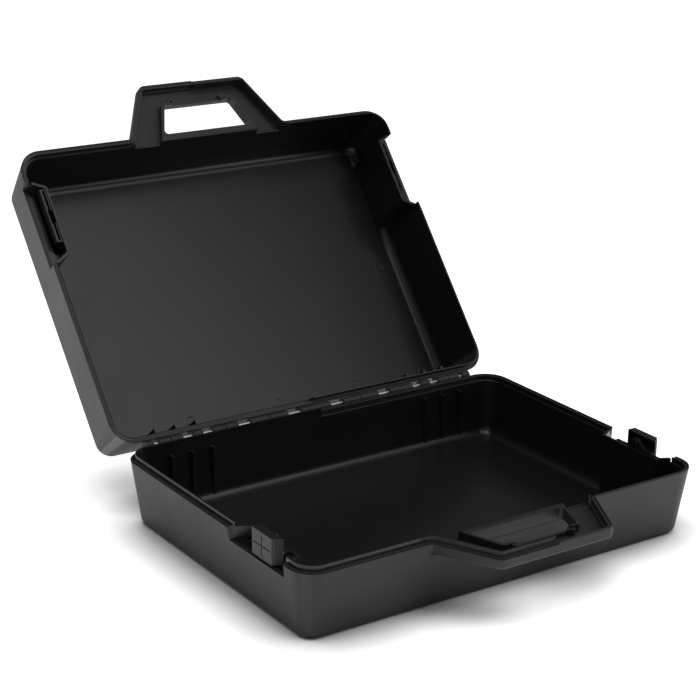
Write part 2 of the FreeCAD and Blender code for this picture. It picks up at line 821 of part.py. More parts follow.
def make_latch(label, side):
    """A sliding latch: hollow thumb piece, web, fin, keyhole head above and long foot below."""
    body = doc.addObject("PartDesign::Body", label)
    face_x = half_width - size("latch_face_inset")
    inner_x = track_x + size("latch_clearance")
    wall = size("latch_wall")
    half_height = size("latch_height") / 2
    front_outer = size("latch_front_outer")
    front_inner = size("latch_front_inner")
    back = size("latch_back")

    def sided(corners):
        return [(x * side, y, r) for x, y, r in corners]

    plan = sided([
        (inner_x, -front_inner, ZERO),
        (face_x, -front_outer, size("latch_edge_radius")),
        (face_x, -back, size("latch_edge_radius")),
        (inner_x, -back, ZERO),
    ])
    plan_sketch = outline_sketch(body, label + "_plan", plan)
    add_pad(body, plan_sketch, label + "_block", size("latch_height"), midplane=True)
    slant = (front_inner - front_outer) / (face_x - inner_x)
    room_front_outer = front_outer + slant * wall - wall
    room = sided([
        (inner_x - overrun, -(front_inner + slant * overrun - wall), ZERO),
        (face_x - wall, -room_front_outer, ZERO),
        (face_x - wall, -(back + wall), ZERO),
        (inner_x - overrun, -(back + wall), ZERO),
    ])
    room_sketch = outline_sketch(body, label + "_room", room)
    room_height = size("latch_height") - size("latch_plate") * 2
    add_pocket(body, room_sketch, label + "_hollow", room_height, midplane=True)

    fin_inner = slot_middle_x - size("fin_thickness") / 2
    fin_outer = slot_middle_x + size("fin_thickness") / 2
    web = sided([
        (fin_inner, -size("foot_front"), ZERO),
        (inner_x, -size("foot_front"), ZERO),
        (face_x - wall / 2, -(front_outer - wall), ZERO),
        (face_x - wall / 2, -(back + wall / 2), ZERO),
        (inner_x, -size("fin_foot_back"), ZERO),
        (fin_inner, -size("fin_foot_back"), ZERO),
    ])
    web_sketch = outline_sketch(body, label + "_web_plan", web)
    add_pad(body, web_sketch, label + "_web", size("web_thickness"), midplane=True)

    head_under = half_gap + size("track_top_drop") + size("track_lip") + size("head_gap")
    foot_bottom = head_under + size("head_thickness")
    fin = [
        (-size("foot_front"), -foot_bottom, ZERO),
        (-size("foot_back"), -foot_bottom, ZERO),
        (-size("fin_foot_back"), ZERO, ZERO),
        (-size("fin_tip_back"), size("fin_height"), ZERO),
        (-size("fin_tip_front"), size("fin_height"), ZERO),
        (-size("fin_foot_front"), ZERO, ZERO),
        (-size("foot_front"), ZERO, ZERO),
    ]
    fin_start = fin_inner if side > 0 else -fin_outer
    fin_sketch = outline_sketch(body, label + "_fin_profile", fin, "YZ_Plane", fin_start)
    add_pad(body, fin_sketch, label + "_fin", size("fin_thickness"))

    head_inner = recess_x + size("head_gap")
    head_outer = track_x - size("track_wall") - size("head_gap")
    head_start = head_inner if side > 0 else -head_outer
    ramp = size("head_thickness") / 2
    head = [
        (-size("head_front"), head_under, ZERO),
        (-size("head_back"), head_under, ZERO),
        (-size("head_back"), foot_bottom - ramp, ZERO),
        (-(size("head_back") + ramp), foot_bottom, ZERO),
        (-(size("head_front") - ramp), foot_bottom, ZERO),
        (-size("head_front"), foot_bottom - ramp, ZERO),
    ]
    head_sketch = outline_sketch(body, label + "_head_profile", head, "YZ_Plane", head_start)
    add_pad(body, head_sketch, label + "_head", head_outer - head_inner)
    foot = [
        (-size("foot_front"), -head_under, ZERO),
        (-size("foot_back"), -head_under, ZERO),
        (-size("foot_back"), -(foot_bottom - ramp), ZERO),
        (-(size("foot_back") + ramp), -foot_bottom, ZERO),
        (-(size("foot_front") - ramp), -foot_bottom, ZERO),
        (-size("foot_front"), -(foot_bottom - ramp), ZERO),
    ]
    foot_sketch = outline_sketch(body, label + "_foot_profile", foot, "YZ_Plane", head_start)
    add_pad(body, foot_sketch, label + "_foot", head_outer - head_inner)

    rib_height = size("grip_rib_height")
    half_rib = size("grip_rib_width") / 2
    for number in range(GRIP_RIB_COUNT):
        centre = inner_x + size("grip_rib_pitch") * (number + 0.5)
        line = front_inner - slant * (centre - inner_x)
        near = line - slant * -half_rib
        far = line - slant * half_rib
        rib = sided([
            (centre - half_rib, -(near - wall / 2), ZERO),
            (centre - half_rib, -(near + rib_height), ZERO),
            (centre + half_rib, -(far + rib_height), ZERO),
            (centre + half_rib, -(far - wall / 2), ZERO),
        ])
        rib_sketch = outline_sketch(body, "%s_grip_rib_%d_plan" % (label, number + 1), rib)
        rib_length = size("latch_height") - size("latch_plate") * 2
        add_pad(body, rib_sketch, "%s_grip_rib_%d" % (label, number + 1), rib_length, midplane=True)

    margin = size("panel_margin")
    groove = size("panel_groove_width") / 2
    centre_y = -(front_outer + back) / 2
    panel_start = (face_x - size("panel_groove_depth")) if side > 0 else -(face_x + overrun)
    panel_depth = size("panel_groove_depth") + overrun
    grooves = (
        ("upright", rectangle(centre_y - groove, centre_y + groove, -half_height + margin, half_height - margin)),
        ("level", rectangle(-front_outer + margin, -back - margin, -groove, groove)),
    )
    for word, corners in grooves:
        groove_sketch = outline_sketch(
            body, "%s_%s_groove_outline" % (label, word), corners, "YZ_Plane", panel_start,
        )
        add_pocket(body, groove_sketch, "%s_%s_groove" % (label, word), panel_depth, reverse=True)
    bind(body, "Placement.Base.z", hinge_z)
    return body


def place_base(shell):
    """Sets the base's underside on the ground."""
    bind(shell, "Placement.Base.z", size("shell_height"))


def place_lid(shell):
    """Turns the shell over and swings it open about the hinge."""
    turn_over = FreeCAD.Rotation(FreeCAD.Vector(0, 1, 0), 180)
    swing = FreeCAD.Rotation(FreeCAD.Vector(1, 0, 0), -SIZES["open_angle"])
    pivot = FreeCAD.Vector(0, hinge_y.value, hinge_z.value)
    rim = (hinge_z + half_gap).value
    closed = FreeCAD.Placement(FreeCAD.Vector(0, 0, rim), turn_over)
    opening = FreeCAD.Placement(pivot, swing) * FreeCAD.Placement(-pivot, FreeCAD.Rotation())
    shell.Placement = opening * closed


def check_document():
    """Stops if any object of the document failed."""
    for thing in doc.Objects:
        faults = [word for word in thing.State if word in ("Invalid", "Error")]
        if faults:
            raise RuntimeError("%s failed: %s" % (thing.Name, faults))


def export_nodes(nodes):
    """Writes each sub-part to its own file."""
    os.makedirs("parts", exist_ok=True)
    for node in nodes:
        shape = node.Shape
        if shape.isNull() or not shape.isValid():
            raise RuntimeError("%s has no valid shape" % node.Label)
        shape.exportStep(os.path.join("parts", node.Label + ".step"))
        print(
            "%-22s solids %d faces %4d volume %10.1f mm3 box %s"
            % (node.Label, len(shape.Solids), len(shape.Faces), shape.Volume, shape.BoundBox)
        )


fill_sheet()
base = make_shell("base", "base_shell", size("base_floor"), size("pin_hold_clearance"))
lid = make_shell("lid", "lid_shell", size("lid_floor"), size("pin_run_clearance"))
pins = [make_pin("hinge_pin_left", -1), make_pin("hinge_pin_right", 1)]
latches = [make_latch("latch_slider_left", -1), make_latch("latch_slider_right", 1)]
place_base(base)
place_lid(lid)
doc.recompute()
check_document()
export_nodes([base, lid] + pins + latches)
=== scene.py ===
"""Dresses the hard tool case: materials, small moulded details, studio and camera.

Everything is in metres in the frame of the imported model: origin at the centre of the base's
underside, +X to the right along the hinge, the handle towards -Y, +Z up.
"""

import json
import logging
import math
from dataclasses import dataclass, field
from enum import Enum
from typing import Any, Iterable

import bpy
import bmesh
from mathutils import Matrix, Vector


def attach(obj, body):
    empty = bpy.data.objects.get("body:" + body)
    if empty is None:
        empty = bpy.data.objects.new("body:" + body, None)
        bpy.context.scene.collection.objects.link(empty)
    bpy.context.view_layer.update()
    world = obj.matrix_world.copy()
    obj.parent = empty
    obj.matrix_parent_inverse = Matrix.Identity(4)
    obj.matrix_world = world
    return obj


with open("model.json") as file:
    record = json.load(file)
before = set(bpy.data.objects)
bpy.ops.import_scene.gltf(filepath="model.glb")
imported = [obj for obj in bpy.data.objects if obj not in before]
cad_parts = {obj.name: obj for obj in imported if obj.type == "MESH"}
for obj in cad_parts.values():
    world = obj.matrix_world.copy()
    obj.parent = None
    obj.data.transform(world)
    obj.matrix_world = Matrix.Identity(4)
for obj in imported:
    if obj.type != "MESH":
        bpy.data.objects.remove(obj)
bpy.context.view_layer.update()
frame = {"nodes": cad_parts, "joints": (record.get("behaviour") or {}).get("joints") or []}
LOG = logging.getLogger("tool_case")

MM = 0.001
HINGE = Vector(next(joint for joint in frame["joints"] if joint["name"] == "lid_hinge")["pos_m"])
# The lid is drawn at its open stop, this far from shut.
OPEN_ANGLE = math.radians(130.0)

# The curve between sRGB values and linear light.
SRGB_KNEE = 0.04045
SRGB_SLOPE = 12.92
SRGB_OFFSET = 0.055
SRGB_POWER = 2.4

# Rays per point that find the edges which a material shows as rounded.
EDGE_SAMPLES = 6


def linear(hex_colour: str) -> tuple[float, float, float, float]:
    """Turns an sRGB hex colour into linear values.

    Args:
        hex_colour: six hex digits.

    Returns:
        Red, green, blue and an alpha of one.
    """
    def channel(digits: str) -> float:
        """Turns two hex digits into one linear value."""
        value = int(digits, 16) / 255.0
        if value <= SRGB_KNEE:
            return value / SRGB_SLOPE
        return ((value + SRGB_OFFSET) / (1.0 + SRGB_OFFSET)) ** SRGB_POWER

    return (channel(hex_colour[0:2]), channel(hex_colour[2:4]), channel(hex_colour[4:6]), 1.0)


def add_node(
    tree: bpy.types.NodeTree,
    kind: str,
    settings: dict[str, Any] | None = None,
    inputs: dict[Any, Any] | None = None,
) -> bpy.types.Node:
    """Adds a node with its settings, its socket values and its links.

    Args:
        tree: the node tree to add to.
        kind: the node's type name.
        settings: properties of the node.
        inputs: socket values, or output sockets to link, by socket name or number.

    Returns:
        The new node.
    """
    node = tree.nodes.new(kind)
    for name, value in (settings or {}).items():
        setattr(node, name, value)
    for key, value in (inputs or {}).items():
        if isinstance(value, bpy.types.NodeSocket):
            tree.links.new(value, node.inputs[key])
        else:
            node.inputs[key].default_value = value
    return node


def empty_material(name: str) -> bpy.types.Material:
    """Makes a material whose node tree is still empty.

    Args:
        name: the material's name.

    Returns:
        The material.
    """
    material = bpy.data.materials.new(name)
    material.use_nodes = True
    material.node_tree.nodes.clear()
    return material


class ShellSide(Enum):
    """The two shells, each by the name of its body."""

    BASE = "base"
    LID = "lid"

    @property
    def way(self) -> float:
        """Which way the shell's floor lies from the rim when the case is shut, along Z."""
        return 1.0 if self is ShellSide.LID else -1.0


@dataclass(frozen=True)
class MouldedPolypropylene:
    """Injection-moulded black polypropylene.

    The outside carries a spark-eroded grain, so it reads as a soft dark grey under a large lamp.
    The inside comes off a plainer core of the mould and is a little glossier; it is drawn darker
    as painted shade. The plastic's flow leaves a broad faint mottle on both. Sizes of the inside
    are in metres.
    """

    colour_outside: str = "232325"
    # Darker than the outside: painted shade for the inside of the walls, where little light
    # reaches.
    colour_inside_painted_shade: str = "18181a"
    roughness_outside: float = 0.52
    roughness_inside: float = 0.31
    ior: float = 1.49
    # Such a grain is nearer 0.1 mm; it is drawn this coarse so that it shows.
    grain_mm: float = 0.9
    grain_height_mm: float = 0.05
    grain_detail: float = 2.0
    grain_roughness: float = 0.6
    grain_strength_outside: float = 0.55
    grain_strength_inside: float = 0.12
    flow_mm: float = 55.0
    flow_detail: float = 3.0
    flow_roughness: float = 0.55
    flow_shade: tuple[float, float] = (0.84, 1.16)
    edge_mm: float = 0.5
    mark_radius_mm: float = 4.0
    mark_line_mm: float = 0.7
    mark_height_mm: float = 0.25
    mark_strength: float = 0.8
    marks_mm: tuple[tuple[float, float], ...] = (
        (-93.0, 117.0), (1.0, 118.0), (90.0, 116.0), (169.0, 118.0), (166.5, 2.7),
    )
    inside_half_width: float = 0.1965
    inside_half_depth: float = 0.1390
    inside_height: float = 0.0590
    wall_draft: float = 0.125

    def build(self, side: ShellSide) -> bpy.types.Material:
        """Makes the material for one shell.

        Args:
            side: the shell it is for.

        Returns:
            The material.
        """
        material = empty_material("moulded_polypropylene_" + side.value)
        tree = material.node_tree
        place = add_node(tree, "ShaderNodeTexCoord").outputs["Object"]
        closed = place
        if side is ShellSide.LID:
            closed = self._shut_lid(tree, place)
        split = add_node(tree, "ShaderNodeSeparateXYZ", None, {0: closed})
        inside = self._inside_mask(tree, split)
        flow = add_node(
            tree, "ShaderNodeTexNoise", {"noise_dimensions": "3D"},
            {
                "Vector": place, "Scale": 1.0 / (self.flow_mm * MM),
                "Detail": self.flow_detail, "Roughness": self.flow_roughness,
            },
        )
        shade_from, shade_to = self.flow_shade
        shade = add_node(
            tree, "ShaderNodeMapRange", None,
            {"Value": flow.outputs["Fac"], "To Min": shade_from, "To Max": shade_to},
        )
        # The inside's darker colour is painted shade; its lower roughness is the core's real
        # gloss.
        tint_with_painted_shade = add_node(
            tree, "ShaderNodeMix", {"data_type": "RGBA"},
            {0: inside, 6: linear(self.colour_outside), 7: linear(self.colour_inside_painted_shade)},
        )
        colour = add_node(
            tree, "ShaderNodeVectorMath", {"operation": "SCALE"},
            {0: tint_with_painted_shade.outputs[2], "Scale": shade.outputs[0]},
        )
        rough = add_node(
            tree, "ShaderNodeMapRange", None,
            {"Value": inside, "To Min": self.roughness_outside, "To Max": self.roughness_inside},
        )
        rough_flow = add_node(
            tree, "ShaderNodeMath", {"operation": "MULTIPLY"},
            {0: rough.outputs[0], 1: shade.outputs[0]},
        )
        relief = self._grain(tree, place, inside)
        if side is ShellSide.LID:
            relief = add_node(
                tree, "ShaderNodeBump", None,
                {
                    "Height": self._ejector_marks(tree, split, inside),
                    "Strength": self.mark_strength,
                    "Distance": self.mark_height_mm * MM,
                    "Normal": relief,
                },
            ).outputs[0]
        shader = add_node(
            tree, "ShaderNodeBsdfPrincipled", None,
            {
                "Base Color": colour.outputs[0], "Roughness": rough_flow.outputs[0],
                "Normal": relief, "IOR": self.ior,
            },
        )
        add_node(tree, "ShaderNodeOutputMaterial", None, {"Surface": shader.outputs[0]})
        return material

    def _shut_lid(
        self, tree: bpy.types.NodeTree, place: bpy.types.NodeSocket,
    ) -> bpy.types.NodeSocket:
        """Turns a place on the open lid to where it is on the shut one.

        Args:
            tree: the material's node tree.
            place: the place as the lid is drawn.

        Returns:
            A socket with the place in the closed case.
        """
        hinge = tuple(HINGE)
        moved = add_node(
            tree, "ShaderNodeVectorMath", {"operation": "SUBTRACT"}, {0: place, 1: hinge},
        )
        turned = add_node(
            tree, "ShaderNodeVectorRotate", {"rotation_type": "X_AXIS"},
            {"Vector": moved.outputs[0], "Angle": OPEN_ANGLE},
        )
        return add_node(
            tree, "ShaderNodeVectorMath", {"operation": "ADD"}, {0: turned.outputs[0], 1: hinge},
        ).outputs[0]

    def _grain(
        self,
        tree: bpy.types.NodeTree,
        place: bpy.types.NodeSocket,
        inside: bpy.types.NodeSocket,
    ) -> bpy.types.NodeSocket:
        """Raises the moulded grain and softens the edges.

        Args:
            tree: the material's node tree.
            place: the place on the piece.
            inside: one inside the walls, where the grain is faint.

        Returns:
            A socket with the surface's normal.
        """
        grain = add_node(
            tree, "ShaderNodeTexNoise", {"noise_dimensions": "3D"},
            {
                "Vector": place, "Scale": 1.0 / (self.grain_mm * MM),
                "Detail": self.grain_detail, "Roughness": self.grain_roughness,
            },
        )
        strength = add_node(
            tree, "ShaderNodeMapRange", None,
            {
                "Value": inside, "To Min": self.grain_strength_outside,
                "To Max": self.grain_strength_inside,
            },
        )
        rounded = add_node(
            tree, "ShaderNodeBevel", {"samples": EDGE_SAMPLES}, {"Radius": self.edge_mm * MM},
        )
        return add_node(
            tree, "ShaderNodeBump", None,
            {
                "Height": grain.outputs["Fac"], "Strength": strength.outputs[0],
                "Distance": self.grain_height_mm * MM, "Normal": rounded.outputs[0],
            },
        ).outputs[0]

    def _ejector_marks(
        self, tree: bpy.types.NodeTree, split: bpy.types.Node, inside: bpy.types.NodeSocket,
    ) -> bpy.types.NodeSocket:
        """Draws the faint rings that the mould's ejector pins leave on the lid's floor.

        Args:
            tree: the material's node tree.
            split: the node that gives the closed case's coordinates.
            inside: one inside the walls.

        Returns:
            A socket with the rings' height, from nought to one.
        """
        flat = add_node(
            tree, "ShaderNodeCombineXYZ", None, {0: split.outputs[0], 1: split.outputs[1]},
        ).outputs[0]
        rings = None
        for x, y in self.marks_mm:
            away = add_node(
                tree, "ShaderNodeVectorMath", {"operation": "DISTANCE"},
                {0: flat, 1: (x * MM, y * MM, 0.0)},
            ).outputs["Value"]
            off = add_node(
                tree, "ShaderNodeMath", {"operation": "SUBTRACT"},
                {0: away, 1: self.mark_radius_mm * MM},
            ).outputs[0]
            near = add_node(
                tree, "ShaderNodeMath", {"operation": "ABSOLUTE"}, {0: off},
            ).outputs[0]
            ring = add_node(
                tree, "ShaderNodeMapRange", {"interpolation_type": "SMOOTHSTEP"},
                {"Value": near, "From Max": self.mark_line_mm * MM, "To Min": 1.0, "To Max": 0.0},
            ).outputs[0]
            rings = ring if rings is None else add_node(
                tree, "ShaderNodeMath", {"operation": "MAXIMUM"}, {0: rings, 1: ring},
            ).outputs[0]
        return add_node(
            tree, "ShaderNodeMath", {"operation": "MULTIPLY"}, {0: rings, 1: inside},
        ).outputs[0]

    def _inside_mask(
        self, tree: bpy.types.NodeTree, split: bpy.types.Node,
    ) -> bpy.types.NodeSocket:
        """Finds the surfaces inside the walls, which lean in towards either floor.

        Args:
            tree: the material's node tree.
            split: the node that gives the closed case's coordinates.

        Returns:
            A socket that is one inside and nought outside.
        """
        from_rim = add_node(
            tree, "ShaderNodeMath", {"operation": "SUBTRACT"}, {0: split.outputs[2], 1: HINGE.z},
        )
        height = add_node(
            tree, "ShaderNodeMath", {"operation": "ABSOLUTE"}, {0: from_rim.outputs[0]},
        )
        product = add_node(
            tree, "ShaderNodeMath", {"operation": "LESS_THAN"},
            {0: height.outputs[0], 1: self.inside_height},
        ).outputs[0]
        for axis, limit in ((0, self.inside_half_width), (1, self.inside_half_depth)):
            distance = add_node(
                tree, "ShaderNodeMath", {"operation": "ABSOLUTE"}, {0: split.outputs[axis]},
            )
            wall = add_node(
                tree, "ShaderNodeMath", {"operation": "MULTIPLY_ADD"},
                {0: height.outputs[0], 1: -self.wall_draft, 2: limit},
            )
            within = add_node(
                tree, "ShaderNodeMath", {"operation": "LESS_THAN"},
                {0: distance.outputs[0], 1: wall.outputs[0]},
            )
            product = add_node(
                tree, "ShaderNodeMath", {"operation": "MULTIPLY"},
                {0: product, 1: within.outputs[0]},
            ).outputs[0]
        return product


@dataclass(frozen=True)
class LatchPlastic:
    """Glass-filled nylon of the latches: deep black and even, a little smoother than the grain."""

    colour: str = "111113"
    roughness: float = 0.46
    smoother: float = 0.06
    rougher: float = 0.08
    ior: float = 1.53
    # The fibres' streaks, drawn coarser than they are so that they show.
    streak_mm: float = 4.0
    streak_detail: float = 4.0
    streak_height_mm: float = 0.02
    streak_strength: float = 0.15
    edge_mm: float = 0.35

    def build(self) -> bpy.types.Material:
        """Makes the finish.

        Returns:
            The material.
        """
        material = empty_material("glass_filled_nylon")
        tree = material.node_tree
        place = add_node(tree, "ShaderNodeTexCoord").outputs["Object"]
        streaks = add_node(
            tree, "ShaderNodeTexNoise", None,
            {
                "Vector": place, "Scale": 1.0 / (self.streak_mm * MM),
                "Detail": self.streak_detail,
            },
        )
        rough = add_node(
            tree, "ShaderNodeMapRange", None,
            {
                "Value": streaks.outputs["Fac"], "To Min": self.roughness - self.smoother,
                "To Max": self.roughness + self.rougher,
            },
        )
        rounded = add_node(
            tree, "ShaderNodeBevel", {"samples": EDGE_SAMPLES}, {"Radius": self.edge_mm * MM},
        )
        bump = add_node(
            tree, "ShaderNodeBump", None,
            {
                "Height": streaks.outputs["Fac"], "Strength": self.streak_strength,
                "Distance": self.streak_height_mm * MM, "Normal": rounded.outputs[0],
            },
        )
        shader = add_node(
            tree, "ShaderNodeBsdfPrincipled", None,
            {
                "Base Color": linear(self.colour), "Roughness": rough.outputs[0],
                "Normal": bump.outputs[0], "IOR": self.ior,
            },
        )
        add_node(tree, "ShaderNodeOutputMaterial", None, {"Surface": shader.outputs[0]})
        return material


@dataclass(frozen=True)
class DrawnSteel:
    """Bright drawn steel wire: fine marks along its length from the drawing die."""

    colour: str = "d2d2d4"
    roughness: float = 0.42
    smoother: float = 0.08
    rougher: float = 0.1
    # Die marks are finer than this; they are drawn so coarse that they show.
    mark_mm: float = 0.25
    mark_detail: float = 2.0
    mark_height_mm: float = 0.01
    mark_strength: float = 0.2
    # A mark is this many times as broad as it is long, along the rod.
    mark_stretch: float = 0.02

    def build(self) -> bpy.types.Material:
        """Makes the finish.

        Returns:
            The material.
        """
        material = empty_material("drawn_steel")
        tree = material.node_tree
        place = add_node(tree, "ShaderNodeTexCoord").outputs["Object"]
        along = add_node(
            tree, "ShaderNodeMapping", None,
            {"Vector": place, "Scale": (self.mark_stretch, 1.0, 1.0)},
        )
        marks = add_node(
            tree, "ShaderNodeTexNoise", None,
            {
                "Vector": along.outputs[0], "Scale": 1.0 / (self.mark_mm * MM),
                "Detail": self.mark_detail,
            },
        )
        rough = add_node(
            tree, "ShaderNodeMapRange", None,
            {
                "Value": marks.outputs["Fac"], "To Min": self.roughness - self.smoother,
                "To Max": self.roughness + self.rougher,
            },
        )
        bump = add_node(
            tree, "ShaderNodeBump", None,
            {
                "Height": marks.outputs["Fac"], "Strength": self.mark_strength,
                "Distance": self.mark_height_mm * MM,
            },
        )
        shader = add_node(
            tree, "ShaderNodeBsdfPrincipled", None,
            {
                "Base Color": linear(self.colour), "Metallic": 1.0,
                "Roughness": rough.outputs[0], "Normal": bump.outputs[0],
            },
        )
        add_node(tree, "ShaderNodeOutputMaterial", None, {"Surface": shader.outputs[0]})
        return material


def dress(node: str, material: bpy.types.Material) -> None:
    """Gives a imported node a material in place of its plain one.

    Args:
        node: the node's name.
        material: the finish.
    """
    piece = frame["nodes"][node]
    if not piece.material_slots:
        piece.data.materials.append(material)
    for slot in piece.material_slots:
        slot.material = material
    LOG.info("dressed %s with %s", node, material.name)


def rod_row_tree(name: str, sides: int) -> bpy.types.NodeTree:
    """Makes the node tree that lays a row of round rods.

    Args:
        name: the tree's name.
        sides: how many sides stand for a rod's round.

    Returns:
        The tree, with named inputs for the row and the rod.
    """
    tree = bpy.data.node_groups.new(name, "GeometryNodeTree")
    sockets = (
        ("Geometry", "NodeSocketGeometry"), ("Count", "NodeSocketInt"),
        ("Start", "NodeSocketVector"), ("Step", "NodeSocketVector"),
        ("Length", "NodeSocketVector"), ("Radius", "NodeSocketFloat"),
        ("Material", "NodeSocketMaterial"),
    )
    for label, kind in sockets:
        tree.interface.new_socket(label, in_out="INPUT", socket_type=kind)
    tree.interface.new_socket("Geometry", in_out="OUTPUT", socket_type="NodeSocketGeometry")
    given = tree.nodes.new("NodeGroupInput").outputs
    row = add_node(
        tree, "GeometryNodeMeshLine", {"mode": "OFFSET"},
        {"Count": given["Count"], "Start Location": given["Start"], "Offset": given["Step"]},
    )
    line = add_node(tree, "GeometryNodeCurvePrimitiveLine", None, {"End": given["Length"]})
    round_profile = add_node(
        tree, "GeometryNodeCurvePrimitiveCircle", None,
        {"Resolution": sides, "Radius": given["Radius"]},
    )
    rod = add_node(
        tree, "GeometryNodeCurveToMesh", None,
        {"Curve": line.outputs[0], "Profile Curve": round_profile.outputs[0], "Fill Caps": True},
    )
    rods = add_node(
        tree, "GeometryNodeInstanceOnPoints", None,
        {"Points": row.outputs[0], "Instance": rod.outputs[0]},
    )
    real = add_node(tree, "GeometryNodeRealizeInstances", None, {0: rods.outputs[0]})
    dressed = add_node(
        tree, "GeometryNodeSetMaterial", None,
        {"Geometry": real.outputs[0], "Material": given["Material"]},
    )
    add_node(tree, "NodeGroupOutput", None, {0: dressed.outputs[0]})
    return tree


@dataclass
class HandleDetails:
    """The fine ribs on one leg of each handle half and the rounded lips at the legs' feet.

    Both halves come from one mould, so the lid's row is on its right leg and the base's on its
    left. Sizes are those of the closed case, in millimetres, on the lid's side of the rim: the
    two ends of the hand hole's slanting side, the ribs' pitch, radius and reach from the rim, and
    the lips' two ends, depth, height over the rim and radius.
    """

    hole_back: tuple[float, float] = (47.5, -143.5)
    hole_front: tuple[float, float] = (36.5, -173.5)
    margin: float = 6.0
    pitch: float = 1.7
    radius: float = 0.5
    low: float = 0.9
    high: float = 8.0
    rim: float = 60.15
    lip_inner: float = 52.5
    lip_outer: float = 78.5
    lip_depth: float = 136.6
    lip_height: float = 7.4
    lip_radius: float = 1.3
    legs: int = 2
    sides: int = 8

    def build(self, base: bpy.types.Material, lid: bpy.types.Material) -> None:
        """Makes both rows and both pairs of lips.

        Args:
            base: the base's finish.
            lid: the lid's finish.
        """
        tree = rod_row_tree("round_ribs", self.sides)
        for side, finish in ((ShellSide.BASE, base), (ShellSide.LID, lid)):
            self._bake(tree, "grip_ribs_" + side.value, self._ribs(side.way), side, finish)
            self._bake(tree, "leg_lips_" + side.value, self._lips(side.way), side, finish)

    def _ribs(self, way: float) -> dict[str, Any]:
        """Gives the row of ribs on one leg.

        Args:
            way: one for the lid's right leg, minus one for the base's left.

        Returns:
            The node tree's inputs by name.
        """
        back = Vector(self.hole_back)
        front = Vector(self.hole_front)
        along = (front - back).normalized()
        usable = (front - back).length - 2.0 * self.margin
        first = back + along * self.margin
        return {
            "Count": int(usable / self.pitch) + 1,
            "Start": Vector((first.x * way, first.y, self.rim + self.low * way)) * MM,
            "Step": Vector((along.x * way, along.y, 0.0)) * self.pitch * MM,
            "Length": Vector((0.0, 0.0, (self.high - self.low) * way)) * MM,
            "Radius": self.radius * MM,
        }

    def _lips(self, way: float) -> dict[str, Any]:
        """Gives the rounded lips where both legs meet the shell's wall.

        Args:
            way: one for the lid, minus one for the base.

        Returns:
            The node tree's inputs by name.
        """
        height = self.rim + self.lip_height * way
        return {
            "Count": self.legs,
            "Start": Vector((-self.lip_outer, -self.lip_depth, height)) * MM,
            "Step": Vector((self.lip_outer + self.lip_inner, 0.0, 0.0)) * MM,
            "Length": Vector((self.lip_outer - self.lip_inner, 0.0, 0.0)) * MM,
            "Radius": self.lip_radius * MM,
        }

    def _bake(
        self,
        tree: bpy.types.NodeTree,
        name: str,
        values: dict[str, Any],
        side: ShellSide,
        finish: bpy.types.Material,
    ) -> None:
        """Makes one piece as a finished mesh that rides on its shell.

        Args:
            tree: the node tree of the rods.
            name: the piece's name.
            values: the tree's inputs by name.
            side: the shell that carries the piece; the lid's is turned open with it.
            finish: the material.
        """
        values = {**values, "Material": finish}
        body = side.value
        seed = bpy.data.objects.new(name + "_seed", bpy.data.meshes.new(name + "_seed"))
        bpy.context.scene.collection.objects.link(seed)
        modifier = seed.modifiers.new("rods", "NODES")
        modifier.node_group = tree
        for item in tree.interface.items_tree:
            if item.in_out == "INPUT" and item.name in values:
                modifier[item.identifier] = values[item.name]
        bpy.context.view_layer.update()
        found = seed.evaluated_get(bpy.context.evaluated_depsgraph_get())
        mesh = bpy.data.meshes.new_from_object(found)
        bpy.data.objects.remove(seed, do_unlink=True)
        if side is ShellSide.LID:
            turn = Matrix.Rotation(-OPEN_ANGLE, 4, "X")
            mesh.transform(Matrix.Translation(HINGE) @ turn @ Matrix.Translation(-HINGE))
        outward = bmesh.new()
        outward.from_mesh(mesh)
        bmesh.ops.recalc_face_normals(outward, faces=outward.faces)
        outward.to_mesh(mesh)
        outward.free()
        mesh.name = name
        piece = bpy.data.objects.new(name, mesh)
        bpy.context.scene.collection.objects.link(piece)
        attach(piece, body)
        LOG.info("%s: %d rods, %d faces", name, values["Count"], len(mesh.polygons))


@dataclass
class Shells:
    """The two shells of the case."""

    finish: MouldedPolypropylene = field(default_factory=MouldedPolypropylene)
    handle: HandleDetails = field(default_factory=HandleDetails)

    def build(self) -> None:
        """Dresses base and lid and adds the small details of the handle."""
        base = self.finish.build(ShellSide.BASE)
        lid = self.finish.build(ShellSide.LID)
        dress("base_shell", base)
        dress("lid_shell", lid)
        self.handle.build(base, lid)


@dataclass
class Latches:
    """The sliding latches in the side walls."""

    finish: LatchPlastic = field(default_factory=LatchPlastic)

    def build(self) -> None:
        """Dresses both latches with one finish."""
        material = self.finish.build()
        dress("latch_slider_left", material)
        dress("latch_slider_right", material)


@dataclass
class HingeRods:
    """The two rods of the hinge."""

    finish: DrawnSteel = field(default_factory=DrawnSteel)

    def build(self) -> None:
        """Dresses both rods with one finish."""
        material = self.finish.build()
        dress("hinge_pin_left", material)
        dress("hinge_pin_right", material)


@dataclass(frozen=True)
class Softbox:
    """A rectangular soft lamp: its place, target and two sides in metres, its power in watts."""

    name: str
    place: tuple[float, float, float]
    target: tuple[float, float, float]
    width: float
    depth: float
    power: float

    def hang(self) -> None:
        """Adds the lamp, turned towards its target."""
        lamp = bpy.data.lights.new(self.name, "AREA")
        lamp.shape = "RECTANGLE"
        lamp.size = self.width
        lamp.size_y = self.depth
        lamp.energy = self.power
        holder = bpy.data.objects.new(self.name, lamp)
        holder.location = self.place
        look = Vector(self.target) - Vector(self.place)
        holder.rotation_euler = look.to_track_quat("-Z", "Y").to_euler()
        bpy.context.scene.collection.objects.link(holder)


